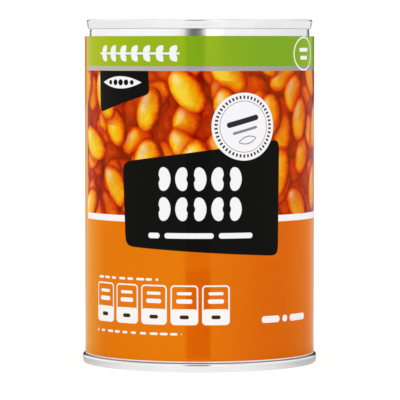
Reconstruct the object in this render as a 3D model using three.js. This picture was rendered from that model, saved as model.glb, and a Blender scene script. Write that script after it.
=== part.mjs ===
// A shut food can with a wrapped paper label: a steel body with a necked top, an end seamed on at the top
// and at the bottom, and the label. Millimetres, +Z up. The origin is the centre of the circle it stands on.
import * as THREE from "three";

// Driving dimensions of the whole can
const canHeight = 109.2; // over both double seams
const labelRadius = 36.6; // outside of the paper
const labelBottom = 3.05;
const labelTop = 103.9;

// Paper
const paperThickness = 0.2;
const paperGap = 0.1; // between the paper and the steel
const lapRise = 0.15; // how far the upper layer stands out where the paper overlaps itself
const lapWidth = 9;
const lapRamp = 1; // where the upper layer climbs over the edge of the lower one
const lapAngle = 158; // degrees round from the front, towards +X, where the lap ends in its free edge

// Steel body
const neckRadius = 35;
const neckStart = 102.2; // the shoulder begins to draw in here, under the paper
const neckFull = 103.9; // and has its full depth here
const wallBesideEnd = 0.25;
const fitGap = 0.1; // between the body and an end

// Ends, as depths from the rim of the seam. The insets are how far rim and waist stay within its radius,
// and the hook is the part between the waist and the edge that points along the can.
const topSeam = { radius: 36.1, height: 2.95, rimInset: 0, waistInset: 0.3, hookLength: 1.2 };
const bottomSeam = { radius: 37.5, height: 2.9, rimInset: 0.32, waistInset: 0, hookLength: 0.6 };
const rimCorner = 0.42;
const hookCorner = 0.3;
const hookTaper = 0.4;
const chuckSheet = 0.3; // sheet between the body wall and the recess, at the rim
const chuckTaper = 0.3;
const grooveDepth = 4.8; // the countersink, lowest line of the recess
const grooveRadius = 0.6;
const panelDepth = 3.4;
const panelSlope = 0.5; // run of the wall between groove and panel
const endSheet = 0.4; // under the groove
const beads = [
  { radius: 28.6, halfWidth: 1.5, height: 0.55 },
  { radius: 23.4, halfWidth: 1.5, height: 0.55 },
  { radius: 18.2, halfWidth: 1.5, height: 0.55 },
];
const centreRadius = 13.4; // the raised middle disc
const centreRise = 0.4;

const segments = 64;
const cornerSteps = 3;
const grooveSteps = 4;
const beadSteps = 5;
const shoulderSteps = 5;

const bodyRadius = labelRadius - paperThickness - paperGap;
const endThickness = grooveDepth + endSheet; // from the rim to the flat underside

const tinplate = new THREE.MeshStandardMaterial({ color: 0xdcdddf, roughness: 0.25, metalness: 1 });
const paper = new THREE.MeshStandardMaterial({ color: 0xe47505, roughness: 0.3, metalness: 0 });

// A point on a circle in the profile plane, by its angle in degrees from the outward direction.
function onCircle(centreR, centreZ, radius, degrees) {
  const angle = THREE.MathUtils.degToRad(degrees);
  return [centreR + radius * Math.cos(angle), centreZ + radius * Math.sin(angle)];
}

// Points along an arc, both ends included.
function arc(centreR, centreZ, radius, fromDegrees, toDegrees, steps) {
  const points = [];
  for (let i = 0; i <= steps; i++) {
    const degrees = THREE.MathUtils.lerp(fromDegrees, toDegrees, i / steps);
    points.push(onCircle(centreR, centreZ, radius, degrees));
  }
  return points;
}

// Turns a closed profile of [radius, z] points about the Z axis.
function turned(name, profile, material) {
  const geometry = new THREE.LatheGeometry(profile.map(([r, z]) => new THREE.Vector2(r, z)), segments);
  geometry.rotateX(Math.PI / 2);
  const mesh = new THREE.Mesh(geometry, material);
  mesh.name = name;
  return mesh;
}

// The raised rings of an end's panel, as [radius, depth] points from the outermost ring inwards.
function beadedPanel() {
  const points = [];
  for (const { radius, halfWidth, height } of beads) {
    for (let i = 0; i <= beadSteps; i++) {
      const across = THREE.MathUtils.lerp(1, -1, i / beadSteps);
      const rise = (height * (1 + Math.cos(Math.PI * across))) / 2;
      points.push([radius + halfWidth * across, panelDepth - rise]);
    }
  }
  points.push([centreRadius, panelDepth], [centreRadius - centreRise, panelDepth - centreRise]);
  return points;
}

// Half section of an end as [radius, depth] points: its underside, its seam, its groove and its panel.
function endSection(seam, wallRadius) {
  const sheetOutside = wallRadius - wallBesideEnd - fitGap;
  const sheetInside = sheetOutside - chuckSheet;
  const grooveCentre = sheetInside - chuckTaper - grooveRadius;
  const panelEdge = grooveCentre - grooveRadius - panelSlope;
  const hookRadius = seam.radius - hookTaper;
  const rimRadius = seam.radius - seam.rimInset;
  return [
    [0, endThickness],
    [sheetOutside, endThickness],
    [sheetOutside, seam.height],
    ...arc(hookRadius - hookCorner, seam.height - hookCorner, hookCorner, 90, 0, cornerSteps),
    [seam.radius - seam.waistInset, seam.height - seam.hookLength],
    ...arc(rimRadius - rimCorner, rimCorner, rimCorner, 0, -90, cornerSteps),
    ...arc(sheetInside + rimCorner, rimCorner, rimCorner, -90, -180, cornerSteps),
    ...arc(grooveCentre, grooveDepth - grooveRadius, grooveRadius, 0, 180, grooveSteps),
    [panelEdge, panelDepth],
    ...beadedPanel(),
    [0, panelDepth - centreRise],
  ];
}

const topProfile = endSection(topSeam, neckRadius).map(([r, depth]) => [r, canHeight - depth]);
const bottomProfile = endSection(bottomSeam, bodyRadius).reverse();

// Outside of the shoulder and neck, an S curve from the body wall to the neck.
function shoulder() {
  const points = [];
  for (let i = 0; i <= shoulderSteps; i++) {
    const along = i / shoulderSteps;
    const drawn = (1 - Math.cos(Math.PI * along)) / 2;
    points.push([
      THREE.MathUtils.lerp(bodyRadius, neckRadius, drawn),
      THREE.MathUtils.lerp(neckStart, neckFull, along),
    ]);
  }
  return points;
}

const floorOfBottomRecess = endThickness + fitGap;
const floorOfTopRecess = canHeight - endThickness - fitGap;
const bodyProfile = [
  [0, floorOfBottomRecess],
  [bodyRadius - wallBesideEnd, floorOfBottomRecess],
  [bodyRadius - wallBesideEnd, bottomSeam.height + fitGap],
  [bodyRadius, bottomSeam.height + fitGap],
  ...shoulder(),
  [neckRadius, canHeight - topSeam.height - fitGap],
  [neckRadius - wallBesideEnd, canHeight - topSeam.height - fitGap],
  [neckRadius - wallBesideEnd, floorOfTopRecess],
  [0, floorOfTopRecess],
];

// The paper seen from above: round, with one layer lying over the other at the lap.
function paperOutline() {
  const perMillimetre = 360 / (2 * Math.PI * labelRadius);
  const step = 360 / segments;
  const lapStart = lapAngle - lapWidth * perMillimetre;
  const rampStart = lapStart - lapRamp * perMillimetre;
  const corners = [
    [rampStart, labelRadius],
    [lapStart, labelRadius + lapRise],
    [lapAngle, labelRadius + lapRise],
    [lapAngle, labelRadius],
  ];
  for (let i = 0; i < segments; i++) {
    const degrees = i * step;
    if (degrees > rampStart && degrees < lapStart) continue;
    corners.push([degrees, degrees > lapStart && degrees < lapAngle ? labelRadius + lapRise : labelRadius]);
  }
  corners.sort((a, b) => a[0] - b[0] || b[1] - a[1]);
  return corners.map(([degrees, radius]) => fromFront(degrees, radius));
}

// A point on the ground plane by its angle from the front, which faces -Y.
function fromFront(degrees, radius) {
  const angle = THREE.MathUtils.degToRad(degrees);
  return new THREE.Vector2(radius * Math.sin(angle), -radius * Math.cos(angle));
}

function paperLabel() {
  const inside = [];
  for (let i = 0; i < segments; i++) {
    inside.push(fromFront((360 / segments) * i, labelRadius - paperThickness));
  }
  const shape = new THREE.Shape(paperOutline());
  shape.holes.push(new THREE.Path(inside));
  const geometry = new THREE.ExtrudeGeometry(shape, { depth: labelTop - labelBottom, bevelEnabled: false });
  const mesh = new THREE.Mesh(geometry, paper);
  mesh.name = "paper_label";
  mesh.position.z = labelBottom;
  return mesh;
}

const can = new THREE.Group();
can.add(
  turned("bottom_end", bottomProfile, tinplate),
  turned("can_body", bodyProfile, tinplate),
  turned("top_end", topProfile, tinplate),
  paperLabel(),
);

export default can;
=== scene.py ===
import bpy
import bmesh
import math
from mathutils import Matrix, Vector


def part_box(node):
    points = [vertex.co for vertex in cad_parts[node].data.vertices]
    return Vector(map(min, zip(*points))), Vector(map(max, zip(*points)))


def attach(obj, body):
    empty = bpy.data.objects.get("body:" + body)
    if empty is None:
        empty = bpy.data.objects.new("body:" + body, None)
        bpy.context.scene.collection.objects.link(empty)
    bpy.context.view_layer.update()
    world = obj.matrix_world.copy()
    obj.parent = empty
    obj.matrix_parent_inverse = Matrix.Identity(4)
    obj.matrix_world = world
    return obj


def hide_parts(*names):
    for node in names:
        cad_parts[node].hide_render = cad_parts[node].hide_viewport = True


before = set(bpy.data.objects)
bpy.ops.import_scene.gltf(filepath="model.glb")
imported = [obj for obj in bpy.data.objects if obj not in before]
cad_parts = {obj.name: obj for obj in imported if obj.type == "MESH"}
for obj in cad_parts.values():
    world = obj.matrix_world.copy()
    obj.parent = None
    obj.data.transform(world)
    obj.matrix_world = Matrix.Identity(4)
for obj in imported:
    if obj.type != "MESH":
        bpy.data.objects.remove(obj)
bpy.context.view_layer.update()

# Shut steel food can with a wrapped paper label. Sizes are in millimetres unless a note says otherwise.
mm = 0.001

cameraSetup = {
    "place": (0.00015, -1.0, 0.101015),  # metres
    "tiltDown": 2.8273,  # degrees
    "lens": 281.435,
    "sensor": 36.0,
}

topEndSizes = {
    "seamRadius": 36.1,
    "seamHeight": 2.95,
    "rimInset": 0.0,
    "waistInset": 0.32,
    "hookLength": 1.3,
    "hookTaper": 0.52,
    "sheetOutside": 34.65,
    "steps": 192,
}

bottomEndSizes = {
    "seamRadius": 37.5,
    "seamHeight": 2.9,
    "rimInset": 0.32,
    "waistInset": 0.0,
    "hookLength": 0.6,
    "hookTaper": 0.45,
    "sheetOutside": 35.95,
    "steps": 192,
}

# Both ends, as depths from the rim
endSizes = {
    "sheet": 0.3,
    "rimCorner": 0.5,
    "hookCorner": 0.3,
    "chuckTaper": 0.3,
    "grooveWidth": 1.2,
    "grooveDepth": 4.8,
    "grooveRound": 0.5,
    "panelDepth": 3.4,
    "panelSlope": 0.5,
    "beadRadii": (28.6, 23.4, 18.2),
    "beadHalfFoot": 1.5,
    "beadHalfTop": 0.35,
    "beadHeight": 0.55,
    "beadRound": 0.55,
    "centreRadius": 13.4,
    "centreRise": 0.4,
    "underside": 5.2,
}

bodySizes = {
    "radius": 36.44,
    "bottom": 3.0,
    "bottomRecess": 5.3,
    "shoulderStart": 102.2,
    "shoulderEnd": 103.4,
    "neckRadius": 35.1,
    "neckTop": 106.15,
    "neckTopRadius": 35.0,
    "wall": 0.25,
    "topRecess": 103.9,
    "steps": 192,
}

labelSizes = {
    "radius": 36.6,
    "bottom": 3.06,
    "top": 104.0,
    "paper": 0.12,
    "lapAngle": 158.0,  # degrees round from the front, towards +X
    "lapWidth": 9.0,
    "lapRise": 0.13,
    "lapRamp": 1.4,
    "edgeWave": 0.03,
    "columns": 420,
    "rows": 16,
}


class Wire:
    # A number in a shader, so that sums are written as sums

    def __init__(self, sheet, socket):
        self.sheet = sheet
        self.socket = socket

    def other(self, name):
        return Wire(self.sheet, self.socket.node.outputs[name])

    def math(self, operation, *values, reflected=False, clamp=False):
        order = (*values, self) if reflected else (self, *values)
        settings = {"operation": operation, "use_clamp": clamp}
        return self.sheet.add("ShaderNodeMath", settings, dict(enumerate(order)))

    def __add__(self, value):
        return self.math("ADD", value)

    def __sub__(self, value):
        return self.math("SUBTRACT", value)

    def __rsub__(self, value):
        return self.math("SUBTRACT", value, reflected=True)

    def __mul__(self, value):
        return self.math("MULTIPLY", value)

    def __truediv__(self, value):
        return self.math("DIVIDE", value)

    def __neg__(self):
        return self.math("MULTIPLY", -1.0)

    def __abs__(self):
        return self.math("ABSOLUTE")

    __radd__ = __add__
    __rmul__ = __mul__

    def most(self, value):
        return self.math("MAXIMUM", value)

    def above(self, value):
        return self.math("GREATER_THAN", value)

    def clamped(self):
        return self.math("ADD", 0.0, clamp=True)

    def root(self):
        return self.math("SQRT")


class NodeSheet:
    # Fills one node tree

    def __init__(self, tree):
        self.tree = tree
        self.tree.nodes.clear()

    def add(self, kind, settings=None, sockets=None, output=0):
        node = self.tree.nodes.new(kind)
        for name, value in (settings or {}).items():
            if name == "stops":
                self.setStops(node.color_ramp, value)
            else:
                setattr(node, name, value)
        for name, value in (sockets or {}).items():
            if isinstance(value, Wire):
                self.tree.links.new(value.socket, node.inputs[name])
            else:
                node.inputs[name].default_value = value
        return Wire(self, node.outputs[output]) if node.outputs else None

    def setStops(self, ramp, stops):
        while len(ramp.elements) < len(stops):
            ramp.elements.new(0.5)
        for element, (position, colour) in zip(ramp.elements, stops):
            element.position = position
            element.color = colour

    def vector(self, operation, *values, output=0):
        return self.add("ShaderNodeVectorMath", {"operation": operation}, dict(enumerate(values)), output)

    def split(self, vector):
        first = self.add("ShaderNodeSeparateXYZ", sockets={0: vector})
        return first, first.other("Y"), first.other("Z")

    def join(self, x, y, z=0.0):
        return self.add("ShaderNodeCombineXYZ", sockets={0: x, 1: y, 2: z})

    def mix(self, factor, under, over, blend="MIX"):
        settings = {"data_type": "RGBA", "blend_type": blend}
        return self.add("ShaderNodeMix", settings, {0: factor, 6: under, 7: over}, output=2)

    def ramp(self, value, stops):
        return self.add("ShaderNodeValToRGB", {"stops": stops}, {0: value})

    def noise(self, vector, scale, detail=2.0, roughness=0.5):
        sockets = {"Vector": vector, "Scale": scale, "Detail": detail, "Roughness": roughness}
        return self.add("ShaderNodeTexNoise", {"noise_dimensions": "3D"}, sockets)

    def placed(self, vector, size, turn=0.0, shift=(0.0, 0.0, 0.0)):
        sockets = {"Vector": vector, "Location": shift, "Rotation": (0.0, 0.0, turn), "Scale": size}
        return self.add("ShaderNodeMapping", {"vector_type": "TEXTURE"}, sockets)


def newMaterial(name):
    material = bpy.data.materials.new(name)
    material.use_nodes = True
    return material, NodeSheet(material.node_tree)


def linear(level):
    level /= 255
    return level / 12.92 if level <= 0.04045 else ((level + 0.055) / 1.055) ** 2.4


def screen(red, green, blue):
    # A colour as read off a screen, 0 to 255, made linear for a shader
    return (linear(red), linear(green), linear(blue), 1.0)


def makeCamera(setup):
    lens = bpy.data.cameras.new("camera")
    lens.sensor_width = setup["sensor"]
    lens.lens = setup["lens"]
    lens.clip_start = 0.05
    lens.clip_end = 50
    camera = bpy.data.objects.new("camera", lens)
    camera.location = setup["place"]
    camera.rotation_euler = (math.radians(90 - setup["tiltDown"]), 0, 0)
    bpy.context.scene.collection.objects.link(camera)
    bpy.context.scene.camera = camera


def addPiece(name, mesh, materials, sharpAngle=40):
    data = bpy.data.meshes.new(name)
    mesh.to_mesh(data)
    mesh.free()
    for polygon in data.polygons:
        polygon.use_smooth = True
    data.set_sharp_from_angle(angle=math.radians(sharpAngle))
    for material in materials:
        data.materials.append(material)
    piece = bpy.data.objects.new(name, data)
    bpy.context.scene.collection.objects.link(piece)
    return piece


def turnProfile(profile, steps):
    # Rounds the corners of a half section of (radius, height, rounding) and turns it about the can's axis
    mesh = bmesh.new()
    corners = [mesh.verts.new((radius * mm, 0, height * mm)) for radius, height, rounding in profile]
    for pair in zip(corners, corners[1:]):
        mesh.edges.new(pair)
    for rounding in sorted({corner[2] for corner in profile if corner[2]}):
        chosen = [vert for vert, corner in zip(corners, profile) if corner[2] == rounding]
        bmesh.ops.bevel(mesh, geom=chosen, offset=rounding * mm, offset_type="OFFSET", affect="VERTICES",
                        segments=4, profile=0.5, material=-1)
    bmesh.ops.spin(mesh, geom=mesh.verts[:] + mesh.edges[:], cent=(0, 0, 0), axis=(0, 0, 1),
                   angle=2 * math.pi, steps=steps, use_merge=True)
    bmesh.ops.remove_doubles(mesh, verts=mesh.verts[:], dist=1e-6)
    bmesh.ops.recalc_face_normals(mesh, faces=mesh.faces[:])
    return mesh


def endProfile(seam, sizes):
    # From the middle of the panel, over the seam, to the middle of the underside
    inside = seam["sheetOutside"] - sizes["sheet"]
    grooveOuter = inside - sizes["chuckTaper"]
    grooveInner = grooveOuter - sizes["grooveWidth"]
    panelEdge = grooveInner - sizes["panelSlope"]
    panel = sizes["panelDepth"]
    centre = sizes["centreRadius"]
    rise = sizes["centreRise"]
    profile = [
        (0, panel - rise, 0),
        (centre - rise, panel - rise, 0.28),
        (centre, panel, 0.28),
    ]
    for radius in reversed(sizes["beadRadii"]):
        foot, crest = sizes["beadHalfFoot"], sizes["beadHalfTop"]
        profile += [
            (radius - foot, panel, sizes["beadRound"]),
            (radius - crest, panel - sizes["beadHeight"], sizes["beadHalfTop"] * 0.95),
            (radius + crest, panel - sizes["beadHeight"], sizes["beadHalfTop"] * 0.95),
            (radius + foot, panel, sizes["beadRound"]),
        ]
    outer = seam["seamRadius"]
    height = seam["seamHeight"]
    rim = outer - seam["rimInset"]
    waist = outer - seam["waistInset"]
    waistDepth = height - seam["hookLength"]
    profile += [
        (panelEdge, panel, 0.4),
        (grooveInner, sizes["grooveDepth"], sizes["grooveRound"]),
        (grooveOuter, sizes["grooveDepth"], sizes["grooveRound"]),
        (inside, 0, sizes["rimCorner"]),
        (rim, 0, sizes["rimCorner"]),
        # two points that keep the flat between the corners evenly shaded
        (rim + (waist - rim) * 0.38, waistDepth * 0.38, 0),
        (rim + (waist - rim) * 0.76, waistDepth * 0.76, 0),
        (waist, waistDepth, sizes["hookCorner"]),
        (outer - seam["hookTaper"], height, sizes["hookCorner"]),
        (seam["sheetOutside"], height, 0),
        (seam["sheetOutside"], sizes["underside"], 0),
        (0, sizes["underside"], 0),
    ]
    return profile


def bodyProfile(sizes):
    inner = sizes["radius"] - sizes["wall"]
    neckInner = sizes["neckTopRadius"] - sizes["wall"]
    return [
        (0, sizes["bottomRecess"], 0),
        (inner, sizes["bottomRecess"], 0),
        (inner, sizes["bottom"], 0),
        (sizes["radius"], sizes["bottom"], 0),
        (sizes["radius"], sizes["shoulderStart"], 0.5),
        (sizes["neckRadius"], sizes["shoulderEnd"], 0.5),
        (sizes["neckTopRadius"], sizes["neckTop"], 0),
        (neckInner, sizes["neckTop"], 0),
        (neckInner, sizes["topRecess"], 0),
        (0, sizes["topRecess"], 0),
    ]


def rollPaper(sizes):
    # A flat sheet rolled round the can until its end laps over its beginning
    lapDegrees = math.degrees(sizes["lapWidth"] / sizes["radius"])
    rampDegrees = math.degrees(sizes["lapRamp"] / sizes["radius"])
    wrap = 360 + lapDegrees
    mesh = bmesh.new()
    bmesh.ops.create_grid(mesh, x_segments=sizes["columns"], y_segments=sizes["rows"], size=1)
    for vert in mesh.verts:
        along = (vert.co.x + 1) / 2 * wrap
        up = (vert.co.y + 1) / 2
        climb = min(max((along - 360 + rampDegrees) / rampDegrees, 0), 1)
        radius = sizes["radius"] + sizes["lapRise"] * climb * climb * (3 - 2 * climb)
        angle = math.radians(sizes["lapAngle"] - lapDegrees + along)
        wave = sizes["edgeWave"] * (math.sin(angle * 3 + 0.6) + 0.5 * math.sin(angle * 7 + 2)) / 1.5
        height = sizes["bottom"] + (sizes["top"] - sizes["bottom"]) * up + wave * (2 * up - 1)
        vert.co = (radius * mm * math.sin(angle), -radius * mm * math.cos(angle), height * mm)
    mesh.normal_update()  # the wall grows along the normals
    bmesh.ops.solidify(mesh, geom=mesh.faces[:], thickness=sizes["paper"] * mm)
    bmesh.ops.recalc_face_normals(mesh, faces=mesh.faces[:])
    for face in mesh.faces:
        middle = face.calc_center_median()
        outwards = Vector((middle.x, middle.y, 0)).normalized()
        face.material_index = 0 if face.normal.dot(outwards) > 0.7 else 1
    return mesh


# Printed shapes: distances in millimetres on the unrolled label, from 0 inwards to a negative number

def filled(distance, edge=0.12):
    return distance.math("MULTIPLY_ADD", -1 / edge, 0.5, clamp=True)


def boxMask(sheet, spot, box, rounding=0.12):
    left, right, low, high = box
    middle = ((left + right) / 2, (low + high) / 2, 0)
    half = ((right - left) / 2 - rounding, (high - low) / 2 - rounding, 0)
    away = sheet.vector("SUBTRACT", sheet.vector("ABSOLUTE", sheet.vector("SUBTRACT", spot, middle)), half)
    reach = sheet.vector("LENGTH", sheet.vector("MAXIMUM", away, (0, 0, 0)), output=1)
    return filled(reach - rounding)


def outlineMask(sheet, spot, box, rounding, stroke):
    left, right, low, high = box
    inside = (left + stroke, right - stroke, low + stroke, high - stroke)
    inner = boxMask(sheet, spot, inside, max(rounding - stroke, 0.1))
    return boxMask(sheet, spot, box, rounding) * (1 - inner)


def ovalReach(sheet, spot, middle, halfWidth, halfHeight):
    # 1 on the oval's line, less inside it
    local = sheet.vector("DIVIDE", sheet.vector("SUBTRACT", spot, (*middle, 0)), (halfWidth, halfHeight, 1))
    return sheet.vector("LENGTH", local, output=1)


def slantedMask(u, z, sides, rounding):
    # A shape with straight sides: each side is a point on it and the direction that it faces, in degrees
    distance = None
    for pointU, pointZ, facing in sides:
        cosine, sine = math.cos(math.radians(facing)), math.sin(math.radians(facing))
        side = u * cosine + z * sine - (pointU * cosine + pointZ * sine)
        distance = side if distance is None else distance.math("SMOOTH_MAX", side, rounding)
    return filled(distance)


def barMask(sheet, spot, left, right, middle, thickness):
    # A bar with round ends
    half = thickness / 2
    return boxMask(sheet, spot, (left, right, middle - half, middle + half), half * 0.96)


def bentBar(sheet, x, y, bendRadius, halfLength, halfWidth):
    # A thick stroke along an arc, with round ends
    fromCentre = x + bendRadius
    across = (fromCentre * fromCentre + y * y).root() - bendRadius
    along = (abs(y.math("ARCTAN2", fromCentre)) * bendRadius - halfLength).most(0.0)
    return filled((across * across + along * along).root() - halfWidth)


def wordsMask(sheet, u, z, area, rows, word, seed, thickness, ragged):
    # Rows of short bars of uneven length that stand for small print
    left, right, low, high = area
    rowHeight = (high - low) / rows
    row = (z - low) / rowHeight
    rowNumber = row.math("FLOOR")
    rowChance = sheet.add("ShaderNodeTexWhiteNoise", {"noise_dimensions": "1D"}, {"W": rowNumber + seed})
    column = (u - left) / word + rowChance * 5
    columnNumber = column.math("FLOOR")
    chance = sheet.add("ShaderNodeTexWhiteNoise", {"noise_dimensions": "3D"},
                       {"Vector": sheet.join(columnNumber, rowNumber, seed)})
    length = (chance * 0.36 + 0.5) * word
    half = thickness / 2
    reachU = abs((column - columnNumber) * word - length / 2 - half * 1.2) - length / 2 + half
    away = sheet.vector("MAXIMUM", sheet.join(reachU, row - rowNumber - 0.5), (0, -1, 0))
    away = sheet.vector("MULTIPLY", away, (1, rowHeight, 0))
    bars = filled(sheet.vector("LENGTH", away, output=1) - half, 0.1)
    ends = right - rowChance * ragged if ragged else right
    return bars * filled((left - u).most(u - ends)) * filled((low - z).most(z - high))


def turnedDirection(direction, angle):
    x, y, z = direction
    cosine, sine = math.cos(angle), math.sin(angle)
    length = math.sqrt(x * x + y * y + z * z)
    return ((x * cosine - y * sine) / length, (x * sine + y * cosine) / length, z / length)


def beanLayer(sheet, spot, mottle, below, layer):
    # One layer of beans over what lies below it: each cell of a turned lattice holds one bean
    width, length = layer["cell"]
    turn = math.radians(layer["turn"])
    cells = sheet.placed(spot, (width, length, 1), turn, (*layer["shift"], 0))
    x, y, flat = sheet.split(cells)
    row = y.math("FLOOR")
    x = x + sheet.add("ShaderNodeTexWhiteNoise", {"noise_dimensions": "1D"}, {"W": row + layer["seed"]})
    column = x.math("FLOOR")
    chance = sheet.add("ShaderNodeTexWhiteNoise", {"noise_dimensions": "3D"},
                       {"Vector": sheet.join(column, row, layer["seed"])}, output=1)
    chanceA, chanceB, chanceC = sheet.split(chance)
    chance = sheet.add("ShaderNodeTexWhiteNoise", {"noise_dimensions": "3D"}, {"Vector": chance}, output=1)
    chanceD, chanceE, chanceF = sheet.split(chance)

    tilt = (chanceA - 0.5) * layer["tilt"]
    shiftX, shiftY = layer["stray"]
    local = sheet.join((x - column - 0.5) * width + (chanceB - 0.5) * shiftX,
                       (y - row - 0.5) * length + (chanceD - 0.5) * shiftY)
    local = sheet.add("ShaderNodeVectorRotate", {"rotation_type": "Z_AXIS"},
                      {"Vector": local, "Angle": tilt})
    x, y, flat = sheet.split(local)
    leastWidth, leastLength = layer["smallest"]
    halfWidth = layer["halfWidth"] * (leastWidth + chanceC * (1 - leastWidth))
    halfLength = layer["halfLength"] * (leastLength + chanceE * (1 - leastLength))
    x = x + (y * y - 10) * ((chanceB - 0.5) * layer["bend"])
    acrossBean = x / halfWidth
    alongBean = y / halfLength
    reach = (acrossBean * acrossBean + alongBean * alongBean).root()
    distance = (reach - 1) * halfWidth

    dome = (1 - reach * reach).most(0.0).root()
    facing = sheet.vector("NORMALIZE", sheet.join(acrossBean, alongBean * 0.6, dome + 0.12))
    light = sheet.add("ShaderNodeVectorRotate", {"rotation_type": "Z_AXIS"},
                      {"Vector": turnedDirection(layer["light"], -turn), "Angle": tilt})
    lit = sheet.vector("DOT_PRODUCT", facing, light, output=1)
    glint = sheet.add("ShaderNodeVectorRotate", {"rotation_type": "Z_AXIS"},
                      {"Vector": turnedDirection(layer["glint"], -turn), "Angle": tilt})
    gloss = sheet.vector("DOT_PRODUCT", facing, glint, output=1).most(0.0)
    gloss = (gloss.math("POWER", 46.0) * 1.7).clamped()

    rimTone = layer["rimTone"]
    rounded = rimTone + (1 - rimTone) * (distance / -layer["rim"]).clamped()
    tone = lit * rounded * layer["brightness"] + (chanceE - 0.5) * 0.2 + mottle * layer["mottle"]
    body = sheet.ramp(tone, layer["tones"])
    body = sheet.mix(gloss * (0.25 + 0.75 * chanceF) * layer["gloss"], body, screen(255, 244, 196))
    shadow = (1 - distance / layer["shadowReach"]).clamped() * layer["shadow"]
    mask = filled(distance, 0.35)
    if layer["leftOut"]:
        here = chanceF.above(layer["leftOut"])
        shadow = shadow * here
        mask = mask * here
    below = sheet.mix(shadow, below, screen(228, 40, 8), "MULTIPLY")
    return sheet.mix(mask, below, body)


beanTones = [
    (0.0, screen(134, 14, 2)),
    (0.22, screen(212, 48, 2)),
    (0.4, screen(242, 110, 4)),
    (0.6, screen(255, 160, 4)),
    (0.82, screen(255, 194, 12)),
    (1.0, screen(255, 216, 56)),
]
deepTones = [
    (0.0, screen(112, 12, 2)),
    (0.35, screen(190, 38, 4)),
    (0.62, screen(232, 84, 6)),
    (1.0, screen(248, 132, 14)),
]

# Layers from the deepest to the uppermost; a cell has room for its bean at any tilt
beanPicture = {
    "light": (-0.55, -0.1, 0.75),
    "glint": (-0.4, 0.25, 0.85),
    "smallest": (0.84, 0.8),  # least width and length of a bean, as parts of the greatest
    "bend": 0.045,
    "rim": 1.4,  # over this distance a bean darkens towards its edge
    "rimTone": 0.38,
    "mottle": 0.62,
    "shadowReach": 2.3,
    "layers": [
        {"cell": (11.8, 13.2), "turn": 62, "shift": (3.1, 47.0), "seed": 3,
         "halfWidth": 4.3, "halfLength": 6.2, "tilt": 1.6, "stray": (0.4, 0.4),
         "brightness": 0.85, "gloss": 0.3, "leftOut": 0, "shadow": 0.65, "tones": deepTones},
        {"cell": (12.8, 14.8), "turn": -34, "shift": (11.7, 5.2), "seed": 7,
         "halfWidth": 4.7, "halfLength": 7.1, "tilt": 1.5, "stray": (0.5, 0.5),
         "brightness": 0.92, "gloss": 0.5, "leftOut": 0.1, "shadow": 0.8, "tones": beanTones},
        {"cell": (13.8, 16.4), "turn": 24, "shift": (0.4, 8.0), "seed": 12,
         "halfWidth": 5.0, "halfLength": 7.9, "tilt": 1.4, "stray": (0.6, 0.5),
         "brightness": 1.04, "gloss": 0.85, "leftOut": 0.3, "shadow": 0.85, "tones": beanTones},
        {"cell": (14.6, 18.0), "turn": -6, "shift": (5.0, 0.0), "seed": 21,
         "halfWidth": 5.3, "halfLength": 8.6, "tilt": 1.3, "stray": (0.6, 0.6),
         "brightness": 1.1, "gloss": 0.95, "leftOut": 0.38, "shadow": 0.9, "tones": beanTones},
    ],
}


def beansInSauce(sheet, spot):
    streaks = sheet.noise(sheet.placed(spot, (6, 9, 1), 0.5), 1.0, 4.0, 0.6)
    picture = sheet.ramp(streaks, [
        (0.3, screen(112, 16, 2)),
        (0.5, screen(190, 42, 4)),
        (0.64, screen(226, 88, 22)),
        (0.78, screen(240, 158, 100)),
    ])
    mottle = sheet.noise(sheet.placed(spot, (2.2, 2.2, 1)), 1.0, 3.0, 0.6) - 0.5
    for layer in beanPicture["layers"]:
        picture = beanLayer(sheet, spot, mottle, picture, {**beanPicture, **layer})
    # Thin sauce that has run over some of the beans
    film = sheet.noise(sheet.placed(spot, (9, 12, 1), -0.4, (31, 7, 0)), 1.0, 3.0, 0.55)
    return sheet.mix(((film - 0.47) * 5).clamped() * 0.42, picture, screen(206, 56, 6))


# Ground inks with painted light in three tones: the plain ink, a painted highlight and a painted shade; the
# painted highlight starts from here at the left, and has this share at the right
orangeInkWithPaintedLight = {
    "plain": screen(236, 109, 3),
    "paintedHighlight": screen(249, 160, 32),
    "paintedShade": screen(224, 80, 9),
    "paintedHighlightFrom": -35,
    "paintedHighlightRight": 0.4,
}
greenInkWithPaintedLight = {
    "plain": screen(140, 182, 28),
    "paintedHighlight": screen(176, 196, 22),
    "paintedShade": screen(111, 168, 40),
    "paintedHighlightFrom": -18,
    "paintedHighlightRight": 0.0,
}


def groundInkWithPaintedLight(sheet, u, ink):
    # Painted highlight towards the sides of the front, painted shade to the right of its middle
    left = ((ink["paintedHighlightFrom"] - u) / (ink["paintedHighlightFrom"] + 49)).clamped() * ((u + 60) / 7).clamped()
    right = ((u - 42) / 10).clamped() * ((62 - u) / 8).clamped() * ink["paintedHighlightRight"]
    paintedShade = ((u + 6) / 26).clamped() * ((48 - u) / 18).clamped()
    colour = sheet.mix(left.most(right), ink["plain"], ink["paintedHighlight"])
    return sheet.mix(paintedShade, colour, ink["paintedShade"])


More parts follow.
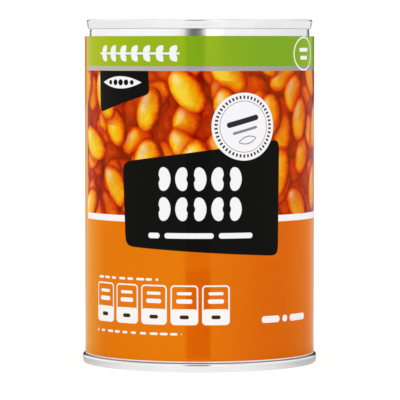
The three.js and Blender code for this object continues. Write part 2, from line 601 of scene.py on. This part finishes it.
# Places on the print: along the paper from the front's middle, and up from the foot of the can
printLayout = {
    "artLeft": -48.0,
    "artRight": 67.0,
    "pictureLow": 48.3,
    "pictureHigh": 93.2,
    "greenLow": 94.6,
    "stripeLow": 46.3,
    "margin": 3.34,  # bare paper below this height
    "sprig": (-37.0, -6.2, 98.6),  # left, right and height of its stem
    "leafPitch": 4.4,
    "ring": (40.6, 98.5, 6.2, 5.1),  # middle, half width and half height
    "ringBars": [(37.6, 43.6, 99.1, 100.3), (38.2, 43.0, 96.6, 97.8)],
    "tabSides": [(-37.2, 90.0, 182), (-16.2, 90.0, 4), (-25.5, 83.3, -74)],
    "tabRounding": 2.6,
    "podMiddle": (-26.9, 89.6),
    "peaPitch": 2.3,
    "panelSides": [(-25.4, 51.0, 182.5), (27.0, 54.0, -0.8), (0.0, 68.4, 97.6), (0.0, 37.2, -93.5)],
    "panelRounding": 4.4,
    "beanRowsLeft": -13.9,
    "beanRowsMiddle": 55.2,
    "beanPitch": 5.6,
    "beansInRow": 5,
    "panelBars": [(-16.4, -12.6, 42.3, 1.7), (-11.0, 4.4, 42.3, 1.7), (6.0, 17.0, 42.3, 1.7)],
    "sealMiddle": (14.2, 76.0),
    "sealRadius": 10.5,
    "sealTicks": 46,
    "sealTurn": 15,
    "boxLeft": -38.7,
    "boxPitch": 9.87,
    "boxWidth": 8.7,
    "boxes": 5,
    "lowBars": [(20.4, 27.5, 15.9, 2.1), (28.8, 31.0, 15.9, 2.1), (32.2, 40.9, 15.9, 2.1)],
    "backTable": (-104.0, -66.0, 20.0, 88.0),
    "backHeading": (-102.0, -68.0, 78.5, 85.5),
    # small print: area, rows, length of a word, seed, thickness, and how ragged it is at the right
    "frontWords": [
        ((-38.6, -13.1, 27.8, 29.4), 1, 3.4, 11, 0.75, 0.0),
        ((-38.9, -5.6, 11.0, 12.6), 1, 3.4, 14, 0.75, 0.0),
    ],
    "tableWords": [
        ((-101.5, -83.0, 40.0, 76.5), 12, 5.0, 17, 0.9, 7.0),
        ((-76.0, -69.0, 40.0, 76.5), 12, 3.6, 19, 0.9, 0.0),
        ((-101.5, -69.0, 22.5, 37.0), 8, 3.8, 23, 0.65, 9.0),
    ],
    "sideWords": [
        ((74.0, 98.0, 58.0, 88.0), 12, 4.4, 29, 0.8, 10.0),
        ((74.0, 98.0, 24.0, 44.0), 8, 4.4, 31, 0.8, 8.0),
    ],
}


def labelPrint():
    material, sheet = newMaterial("labelPrint")
    objectPlace = sheet.add("ShaderNodeTexCoord", output=3)
    x, y, height = sheet.split(objectPlace)
    u = x.math("ARCTAN2", -y) * labelSizes["radius"]
    z = height / mm
    spot = sheet.join(u, z)
    cream = screen(255, 254, 250)
    white = screen(254, 253, 255)
    black = screen(17, 17, 15)

    # Orange ground, with a painted highlight and a painted shade
    ground = groundInkWithPaintedLight(sheet, u, orangeInkWithPaintedLight)
    cloud = sheet.noise(sheet.vector("MULTIPLY", objectPlace, (1, 1, 3)), 60.0, 3.0, 0.55)
    ground = sheet.mix(cloud * 0.16, ground, screen(236, 112, 8))
    streaks = sheet.noise(sheet.placed(spot, (7, 0.7, 1)), 1.0, 2.0, 0.6)
    ground = sheet.mix(((streaks - 0.5) * 4).clamped() * 0.16, ground, screen(210, 80, 2))

    front = filled((printLayout["artLeft"] - u).most(u - printLayout["artRight"]))

    # Picture of beans, white stripe under it
    picture = beansInSauce(sheet, spot)
    rightward = (u * (1 / 36) + 0.05).clamped()
    picture = sheet.mix(rightward, picture, screen(244, 200, 180), "MULTIPLY")
    picture = sheet.mix(rightward * 0.08, picture, screen(222, 104, 24))
    pictureMask = front * filled((printLayout["pictureLow"] - z).most(z - printLayout["pictureHigh"]))
    stripe = front * filled((printLayout["stripeLow"] - z).most(z - printLayout["pictureLow"]))
    colour = sheet.mix(pictureMask, ground, picture)
    colour = sheet.mix(stripe, colour, white)
    neutral = stripe

    # Green band, with a painted highlight and a painted shade, and grey line
    colour = sheet.mix(front * filled(printLayout["greenLow"] - z), colour, groundInkWithPaintedLight(sheet, u, greenInkWithPaintedLight))
    line = front * filled((printLayout["pictureHigh"] - z).most(z - printLayout["greenLow"]))
    greys = sheet.mix((u / 84 + 0.5).clamped(), screen(190, 188, 200), screen(146, 154, 156))
    colour = sheet.mix(line, colour, greys)

    def lay(mask, ink):
        nonlocal colour, neutral
        colour = sheet.mix(mask, colour, ink)
        neutral = neutral.most(mask)

    # Sprig of leaves on the green band
    sprigLeft, sprigRight, sprigHeight = printLayout["sprig"]
    leafPitch = printLayout["leafPitch"]
    leafCell = (u - sprigLeft) / leafPitch
    leafU = (leafCell - leafCell.math("FLOOR") - 0.5) * leafPitch + 0.7
    leafUp = abs(z - sprigHeight)
    alongLeaf = leafU * 0.64 + leafUp * 0.77 - 1.5
    acrossLeaf = leafU * -0.77 + leafUp * 0.64
    leaf = filled(abs(acrossLeaf) - (1 - alongLeaf * alongLeaf / 3.2) * 1.12)
    stem = filled(leafUp - 0.32)
    lay(leaf.most(stem) * filled((sprigLeft - u).most(u - sprigRight)), white)

    # Ring at the right of the green band
    ringU, ringZ, halfWidth, halfHeight = printLayout["ring"]
    ringReach = ovalReach(sheet, spot, (ringU, ringZ), halfWidth, halfHeight)
    lay(filled(abs(ringReach - 1) * 5.5 - 0.26), white)
    for box in printLayout["ringBars"]:
        lay(boxMask(sheet, spot, box, 0.3), white)

    # Tab with a pod, hung from the grey line
    tab = slantedMask(u, z, printLayout["tabSides"], printLayout["tabRounding"])
    lay(tab * filled(z - printLayout["pictureHigh"]), black)
    podMiddleU, podMiddleZ = printLayout["podMiddle"]
    peaPitch = printLayout["peaPitch"]
    podU = u - podMiddleU
    podV = z - podMiddleZ
    lay(filled(abs(podV) - (1 - podU * podU / 66) * 1.9), white)
    podCell = (podU + peaPitch / 2) / peaPitch
    podLocal = (podCell - podCell.math("FLOOR") - 0.5) * peaPitch
    pea = (podLocal * podLocal + podV * podV).root() - (0.98 - podU * podU * 0.012)
    lay(filled(pea) * filled(abs(podU) - 5.75), black)

    # Dark panel with two rows of beans, and a line of blocks below them
    lay(slantedMask(u, z, printLayout["panelSides"], printLayout["panelRounding"]), black)
    beanPitch = printLayout["beanPitch"]
    halfRow = beanPitch * printLayout["beansInRow"] / 2
    beanCell = (u - printLayout["beanRowsLeft"]) / beanPitch
    beanNumber = beanCell.math("FLOOR")
    beanU = (beanCell - beanNumber - 0.5) * beanPitch
    beanV = abs(z - printLayout["beanRowsMiddle"]) - 4.65
    bend = 1 - beanNumber.math("FLOORED_MODULO", 2.0) * 2  # each bean bends the other way
    beanMask = bentBar(sheet, beanU * bend - 0.3, beanV, 3.4, 1.85, 1.75)
    lay(beanMask * filled(abs(u - (printLayout["beanRowsLeft"] + halfRow)) - halfRow + 0.01), white)
    for bar in printLayout["panelBars"]:
        lay(barMask(sheet, spot, *bar), white)

    # Round seal
    sealU, sealZ = printLayout["sealMiddle"]
    radius = printLayout["sealRadius"]
    sealReach = ovalReach(sheet, spot, (sealU, sealZ), 1, 1)
    seal = filled(sealReach - radius)
    lay(seal, white)
    around = (z - sealZ).math("ARCTAN2", u - sealU) * (printLayout["sealTicks"] / (2 * math.pi))
    tick = filled((abs(around - around.math("FLOOR") - 0.5) - 0.24) * 1.2)
    lay(tick * filled(abs(sealReach - 9.1) - 0.5), screen(52, 50, 52))
    lay(filled(abs(sealReach - 7.9) - 0.1), screen(150, 140, 140))
    sealTurned = sheet.placed(spot, (1, 1, 1), math.radians(printLayout["sealTurn"]), (sealU, sealZ, 0))
    turnU, turnV, flat = sheet.split(sealTurned)
    lay(barMask(sheet, sealTurned, -5.4, 5.4, 1.7, 1.7), screen(48, 46, 48))
    lay(barMask(sheet, sealTurned, -4.2, 4.2, -1.2, 0.8), screen(140, 136, 138))
    leafReach = abs(turnV + 4.3) - (1 - turnU * turnU / 9) * 1.1
    lay(filled(abs(leafReach) - 0.14) * filled(abs(turnU) - 3.0) * seal, screen(110, 108, 108))

    # Row of boxes with bars
    cell = (u - printLayout["boxLeft"]) / printLayout["boxPitch"]
    number = cell.math("FLOOR")
    boxU = (cell - number) * printLayout["boxPitch"]
    boxes = printLayout["boxes"]
    inBoxes = filled(abs(number - (boxes - 1) / 2) - boxes / 2, 0.5)
    boxSpot = sheet.join(boxU, z)
    edges = (0, printLayout["boxWidth"], 14.65, 27.0)
    lay(outlineMask(sheet, boxSpot, edges, 1.3, 0.48) * inBoxes, cream)
    lay(boxMask(sheet, boxSpot, (0.2, 8.5, 14.85, 19.6), 1.1) * inBoxes, cream)
    lay(barMask(sheet, boxSpot, 2.0, 6.7, 24.4, 0.95) * inBoxes, white)
    lay(barMask(sheet, boxSpot, 1.8, 6.9, 22.0, 1.35) * inBoxes, white)
    lay(barMask(sheet, boxSpot, 2.9, 5.8, 17.1, 1.2) * inBoxes, screen(70, 40, 20))

    # Bars low on the front, a pale table at the back, and all the small print
    for bar in printLayout["lowBars"]:
        lay(barMask(sheet, spot, *bar), white)
    lay(boxMask(sheet, spot, printLayout["backTable"], 1.6), screen(250, 246, 238))
    lay(boxMask(sheet, spot, printLayout["backHeading"], 0.5), screen(150, 182, 36))
    for words in printLayout["frontWords"] + printLayout["sideWords"]:
        lay(wordsMask(sheet, u, z, *words), cream)
    for words in printLayout["tableWords"]:
        lay(wordsMask(sheet, u, z, *words), screen(60, 50, 45))

    # Bare paper along the bottom
    lay(filled(z - printLayout["margin"]), white)

    # Gloss: flat coloured inks shine more than the picture, and black and white ones least
    ripple = sheet.noise(sheet.vector("MULTIPLY", objectPlace, (1, 1, 0.35)), 55.0, 2.0)
    fibre = sheet.noise(objectPlace, 2600.0, 2.0)
    bump = sheet.add("ShaderNodeBump", sockets={
        "Strength": 0.2,
        "Distance": 0.0001,
        "Height": ripple + fibre * 0.02,
    })
    shine = 0.08 + 0.05 * sheet.noise(objectPlace, 90.0, 4.0)
    matt = sheet.add("ShaderNodeBsdfPrincipled", sockets={
        "Base Color": colour,
        "Roughness": shine,
        "Specular IOR Level": 0.016,
        "Normal": bump,
    })
    gloss = sheet.add("ShaderNodeBsdfPrincipled", sockets={
        "Base Color": (1.0, 0.8, 0.02, 1.0),
        "Metallic": 1.0,
        "Roughness": shine,
        "Normal": bump,
    })
    inks = sheet.add("ShaderNodeMixShader", sockets={0: 0.085 - 0.065 * pictureMask, 1: matt, 2: gloss})
    plain = sheet.add("ShaderNodeBsdfPrincipled", sockets={
        "Base Color": colour,
        "Roughness": shine,
        "Specular IOR Level": 0.03,
        "Normal": bump,
    })
    surface = sheet.add("ShaderNodeMixShader", sockets={0: neutral, 1: inks, 2: plain})
    sheet.add("ShaderNodeOutputMaterial", sockets={0: surface})
    return material


def paperEdge():
    material, sheet = newMaterial("paperEdge")
    objectPlace = sheet.add("ShaderNodeTexCoord", output=3)
    fibre = sheet.noise(objectPlace, 900.0, 3.0, 0.6)
    colour = sheet.mix(fibre, screen(222, 216, 204), screen(246, 243, 236))
    surface = sheet.add("ShaderNodeBsdfPrincipled", sockets={
        "Base Color": colour,
        "Roughness": 0.7 + 0.2 * fibre,
        "Specular IOR Level": 0.25,
    })
    sheet.add("ShaderNodeOutputMaterial", sockets={0: surface})
    return material


tinLooks = {
    "bright": (0.93, 0.93, 0.935, 1.0),
    "dull": (0.8, 0.805, 0.82, 1.0),
    "roughness": 0.13,
    "weldAngle": 196.0,  # degrees round from the front
    "weldWidth": 0.9,
    "turnedFrom": 34.2,  # the lines run round the can outside this radius
    # painted shade in the crease: a dark line on the bottom seam, outside this radius, above this height,
    # and its blur
    "paintedCreaseShade": (36.7, 2.6, 0.2),
}


def tinplate(name, welded=False, creaseShaded=False):
    material, sheet = newMaterial(name)
    objectPlace = sheet.add("ShaderNodeTexCoord", output=3)
    x, y, z = sheet.split(objectPlace)
    reach = (x * x + y * y).root()
    rolled = sheet.noise(sheet.vector("MULTIPLY", objectPlace, (60, 4200, 60)), 1.0, 4.0, 0.65)
    roundTheCan = sheet.join(x.math("ARCTAN2", -y) * 0.4, reach * 5200, z * 5200)
    turnedLines = sheet.noise(roundTheCan, 1.0, 3.0, 0.6)
    onSeam = filled(tinLooks["turnedFrom"] * mm - reach, 0.0004)
    lines = rolled + (turnedLines - rolled) * onSeam
    mottle = sheet.noise(objectPlace, 240.0, 4.0, 0.6)
    tarnish = (mottle * 1.4 - 0.45).clamped()
    colour = sheet.mix(tarnish * 0.55, tinLooks["bright"], tinLooks["dull"])
    roughness = tinLooks["roughness"] + 0.1 * lines + 0.08 * tarnish
    if welded:
        angle = x.math("ARCTAN2", -y) * (180 / math.pi)
        fromWeld = (abs(angle) - (360 - tinLooks["weldAngle"])) * (math.pi / 180) * bodySizes["radius"]
        weld = filled(abs(fromWeld) - tinLooks["weldWidth"] / 2) * filled(x)
        colour = sheet.mix(weld * 0.7, colour, (0.36, 0.37, 0.4, 1.0))
        roughness = roughness + weld * 0.2
    # Painted shade: a dark line in the crease at the top of the bottom seam
    if creaseShaded:
        creaseRadius, creaseHeight, blur = (size * mm for size in tinLooks["paintedCreaseShade"])
        paintedCreaseShade = filled(creaseHeight - z, blur) * filled(creaseRadius - reach, blur)
        colour = sheet.mix(paintedCreaseShade * 0.7, colour, (0.1, 0.1, 0.11, 1.0))
    bump = sheet.add("ShaderNodeBump", sockets={
        "Strength": 0.25,
        "Distance": 0.00002,
        "Height": lines + mottle * 0.4,
    })
    surface = sheet.add("ShaderNodeBsdfPrincipled", sockets={
        "Base Color": colour,
        "Metallic": 1.0,
        "Roughness": roughness,
        "Normal": bump,
    })
    sheet.add("ShaderNodeOutputMaterial", sockets={0: surface})
    return material


studioSetup = {
    # azimuth from the camera's side, towards +X, and how bright the surroundings are there
    "levels": [(-180, 0.03), (-162, 0.03), (-157, 0.5), (-154, 1.1), (-149, 1.1), (-138, 0.95),
               (-110, 1.0), (-60, 1.03), (-15.5, 1.02), (-12.5, 0.04), (4, 0.04), (6.5, 1.5), (17, 1.4),
               (24, 0.98), (60, 0.96), (110, 0.86), (138, 0.82), (151, 0.95), (155, 0.4), (159, 0.03),
               (180, 0.03)],
    "overhead": [(-180, 0.7), (-130, 1.15), (-75, 0.75), (-20, 1.15), (40, 0.8), (95, 1.15), (140, 0.7),
                 (180, 0.7)],
    "backdrop": 1.06,
    "floorGlow": 0.72,
    "floorGlowSeen": 0.8,
    # painted shade round the foot: there the floor shows darker in reflections, most of all behind the can
    "footShadeLevels": [(-180, 0.38), (-85, 0.48), (-70, 0.58), (-60, 0.68), (-44, 0.86), (-20, 0.98),
                   (20, 0.98), (45, 0.78), (62, 0.53), (80, 0.42), (180, 0.38)],
    "footShadeReach": (0.045, 0.09),
    "footShadeAway": 0.76,  # how much of that is gone further out
    "shadeBehind": (160, 0.7),  # degrees from the camera's side, and how much darker the floor is beyond
    "floorDiffuse": 0.3,
    "gapMiddle": -1.9,
    "gapHalf": 11.7,
    "gapStart": 0.45,  # metres from the can's axis
    # left edge, right edge and height of a low card in the near part of the gap
    "card": (-0.0139, 0.0108, 0.0285),
    "cardPlace": -0.0765,
}


def greyStops(levels):
    return [((angle + 180) / 360, (level, level, level, 1)) for angle, level in levels]


def lightStudio(setup):
    world = bpy.data.worlds.new("studio")
    world.use_nodes = True
    bpy.context.scene.world = world
    sheet = NodeSheet(world.node_tree)
    x, y, z = sheet.split(sheet.add("ShaderNodeTexCoord"))
    azimuth = x.math("ARCTAN2", -y) * (1 / (2 * math.pi)) + 0.5
    around = sheet.ramp(azimuth, greyStops(setup["levels"]))
    upward = sheet.ramp(z, [(0.32, (0, 0, 0, 1)), (0.46, (1, 1, 1, 1))])
    around = sheet.mix(upward, around, sheet.ramp(azimuth, greyStops(setup["overhead"])))
    seen = sheet.add("ShaderNodeLightPath")
    backdrop = setup["backdrop"]
    colour = sheet.mix(seen, around, (backdrop, backdrop, backdrop, 1))
    background = sheet.add("ShaderNodeBackground", sockets={"Color": colour})
    sheet.add("ShaderNodeOutputWorld", sockets={0: background})
    bpy.context.scene.view_settings.view_transform = "Standard"


def makeFloor(setup):
    mesh = bmesh.new()
    bmesh.ops.create_grid(mesh, x_segments=2, y_segments=2, size=4)
    material, sheet = newMaterial("floorPaper")
    objectPlace = sheet.add("ShaderNodeTexCoord", output=3)
    grain = sheet.noise(objectPlace, 40.0, 3.0)
    level = setup["floorDiffuse"]
    greys = sheet.mix(grain * 0.2, (level, level, level, 1), (level * 0.95, level * 0.95, level * 0.95, 1))
    diffuse = sheet.add("ShaderNodeBsdfDiffuse", sockets={"Color": greys})
    x, y, z = sheet.split(objectPlace)
    azimuth = x.math("ARCTAN2", -y) * (180 / math.pi)
    reach = (x * x + y * y).root()
    gap = filled(abs(azimuth - setup["gapMiddle"]) - setup["gapHalf"], 1.5)
    gap = gap * filled(setup["gapStart"] - reach, 0.04)
    # Painted shade on the floor's glow round the foot and behind the can
    foot = sheet.ramp(azimuth * (1 / 360) + 0.5, greyStops(setup["footShadeLevels"]))
    inner, outer = setup["footShadeReach"]
    away = ((reach - inner) * (1 / (outer - inner))).clamped()
    foot = foot + (1 - foot) * away * setup["footShadeAway"]
    behindFrom, behindDark = setup["shadeBehind"]
    foot = foot * (1 - filled(behindFrom - abs(azimuth), 4) * behindDark)
    seen = sheet.add("ShaderNodeLightPath")
    glowing = setup["floorGlow"] * (1 - gap) * foot
    strength = glowing + seen * (setup["floorGlowSeen"] - glowing)
    glow = sheet.add("ShaderNodeEmission", sockets={"Color": (1, 1, 1, 1), "Strength": strength})
    surface = sheet.add("ShaderNodeAddShader", sockets={0: diffuse, 1: glow})
    sheet.add("ShaderNodeOutputMaterial", sockets={0: surface})
    addPiece("floor", mesh, [material])


def makeCard(setup):
    # A low black card, soft at its sides, that shows in nothing but reflections
    left, right, height = setup["card"]
    middle = (left + right) / 2
    mesh = bmesh.new()
    bmesh.ops.create_grid(mesh, x_segments=1, y_segments=1, size=0.5)
    bmesh.ops.scale(mesh, vec=((right - left) * 1.2, height, 1), verts=mesh.verts)
    bmesh.ops.rotate(mesh, matrix=Matrix.Rotation(math.pi / 2, 3, "X"), verts=mesh.verts)
    bmesh.ops.translate(mesh, vec=(middle, setup["cardPlace"], height / 2), verts=mesh.verts)
    material, sheet = newMaterial("blackCard")
    x, y, z = sheet.split(sheet.add("ShaderNodeTexCoord", output=3))
    mask = filled(abs(x - middle) - (right - left) / 2, 0.0025)
    clear = sheet.add("ShaderNodeBsdfTransparent")
    black = sheet.add("ShaderNodeEmission", sockets={"Color": (0, 0, 0, 1)})
    surface = sheet.add("ShaderNodeMixShader", sockets={0: mask, 1: clear, 2: black})
    sheet.add("ShaderNodeOutputMaterial", sockets={0: surface})
    card = addPiece("blackCard", mesh, [material])
    card.visible_camera = False
    card.visible_diffuse = False
    card.visible_shadow = False


print("camera and studio")
makeCamera(cameraSetup)
lightStudio(studioSetup)
makeFloor(studioSetup)
makeCard(studioSetup)

print("steel ends")
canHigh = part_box("top_end")[1].z / mm
topProfile = [(radius, canHigh - depth, rounding)
              for radius, depth, rounding in endProfile(topEndSizes, endSizes)]
topEnd = addPiece("topEnd", turnProfile(topProfile, topEndSizes["steps"]), [tinplate("tinplateTop")])
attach(topEnd, "root")
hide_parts("top_end")

bottomProfile = endProfile(bottomEndSizes, endSizes)
bottomEnd = addPiece("bottomEnd", turnProfile(bottomProfile, bottomEndSizes["steps"]),
                     [tinplate("tinplateBottom", creaseShaded=True)])
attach(bottomEnd, "root")
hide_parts("bottom_end")

print("steel body")
canBody = addPiece("canBody", turnProfile(bodyProfile(bodySizes), bodySizes["steps"]),
                   [tinplate("tinplateBody", welded=True)])
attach(canBody, "root")
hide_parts("can_body")

print("paper label")
paperLabel = addPiece("paperLabel", rollPaper(labelSizes), [labelPrint(), paperEdge()])
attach(paperLabel, "root")
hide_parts("paper_label")
